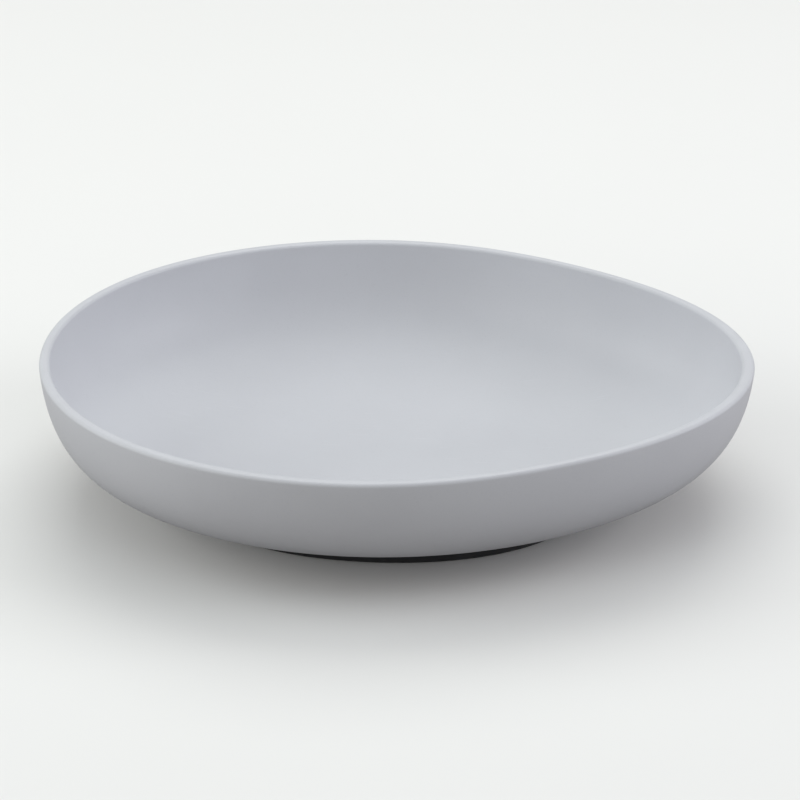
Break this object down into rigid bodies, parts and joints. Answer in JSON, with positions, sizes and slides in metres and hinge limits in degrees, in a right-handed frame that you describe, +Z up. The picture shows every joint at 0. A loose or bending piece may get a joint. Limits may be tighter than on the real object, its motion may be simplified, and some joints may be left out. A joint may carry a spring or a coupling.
{
  "type": "serving bowl",
  "caption": "Shallow open serving bowl with a smooth pebble-shaped outline, a rounded lip and a flat floor, standing on a dark non-slip ring under its foot.",
  "frame": {"origin": "on the standing surface, under the centre of the bowl's bounding box", "axes": "+X along the bowl's length towards its narrower end, +Z up; the XZ plane is the bowl's mirror plane"},
  "size_m": [0.35, 0.301, 0.0727],
  "materials": {
    "bowl_body": "smooth satin, pale cool grey, moulded in one piece",
    "ring_rubber": "matte, near-black"
  },
  "bodies": {
    "root": {"bowl": "bowl_body", "non_slip_ring": "ring_rubber"}
  },
  "joints": []
}
